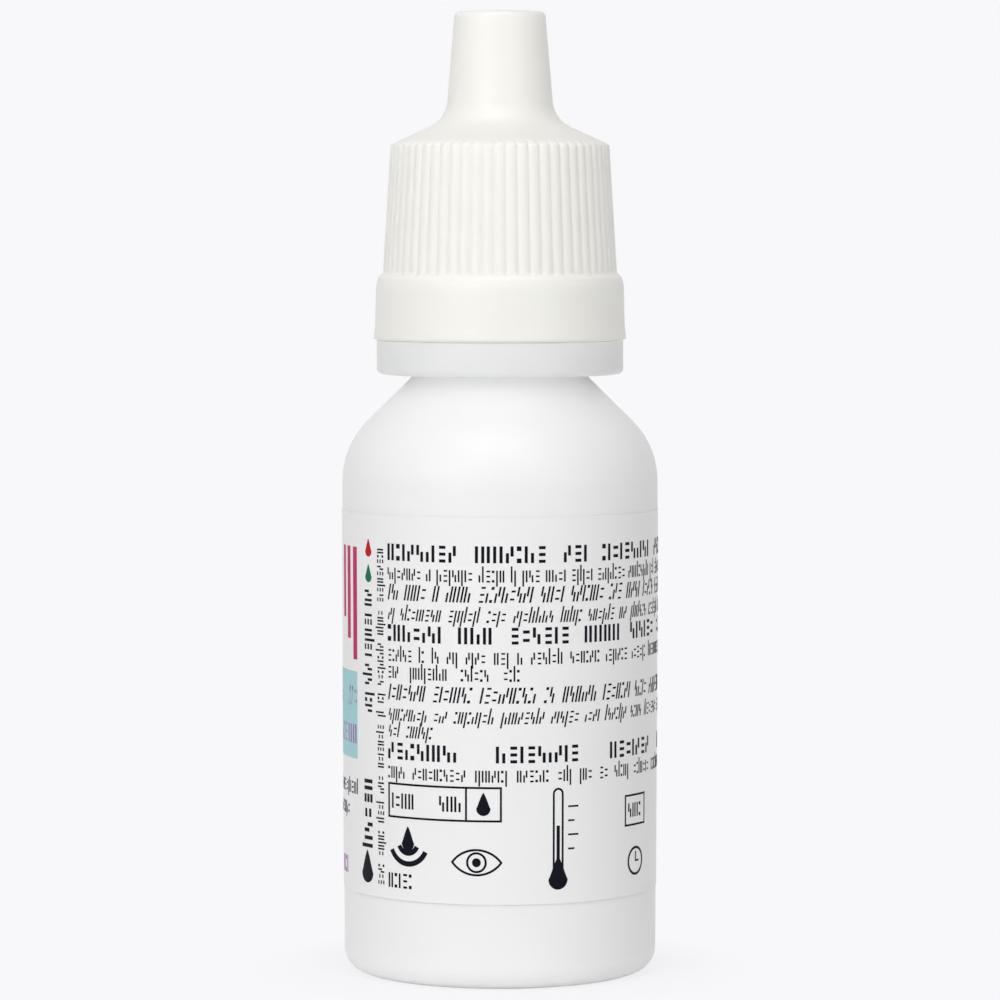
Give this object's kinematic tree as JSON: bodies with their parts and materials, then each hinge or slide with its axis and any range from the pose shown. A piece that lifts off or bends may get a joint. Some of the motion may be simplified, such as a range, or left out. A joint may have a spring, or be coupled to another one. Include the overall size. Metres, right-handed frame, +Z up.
{
  "type": "eye drop bottle",
  "caption": "Round plastic squeeze bottle for eye drops with a wrap label, a loose ring on its neck, a snap-fit dropper and a tall ribbed screw cap.",
  "frame": {"origin": "middle of the foot ring, on the surface that the bottle stands on", "axes": "+Z up along the bottle's axis, through the cap; -Y towards the front of the label; +X to the viewer's right"},
  "size_m": [0.0254, 0.0255, 0.0764],
  "materials": {
    "bottle_plastic": "satin white polyethylene",
    "label_film": "smooth white film with small dark print",
    "natural_plastic": "milky translucent polyethylene",
    "filter_felt": "porous sintered plastic",
    "silicone": "clear silicone",
    "cap_plastic": "warm white polyethylene with a soft sheen"
  },
  "bodies": {
    "bottle": {"bottle": "bottle_plastic", "label": "label_film", "dropper_base": "natural_plastic", "flow_insert": "bottle_plastic", "vent_membrane": "filter_felt", "nozzle_tip": "bottle_plastic"},
    "tamper_ring": {"tamper_ring": "natural_plastic"},
    "cap": {"cap": "cap_plastic"},
    "valve": {"valve": "silicone"}
  },
  "joints": [
    {"name": "cap_turn", "type": "hinge", "parent": "bottle", "child": "tamper_ring", "pos_m": [0, 0, 0.0487], "axis": [0, 0, 1], "range_deg": [0, 540]},
    {"name": "cap_lift", "type": "slide", "parent": "tamper_ring", "child": "cap", "axis": [0, 0, 1], "range_m": [0, 0.03]},
    {"name": "valve_lift", "type": "slide", "parent": "bottle", "child": "valve", "axis": [0, 0, 1], "range_m": [0, 0.0003], "stiffness_N_per_m": 100}
  ]
}
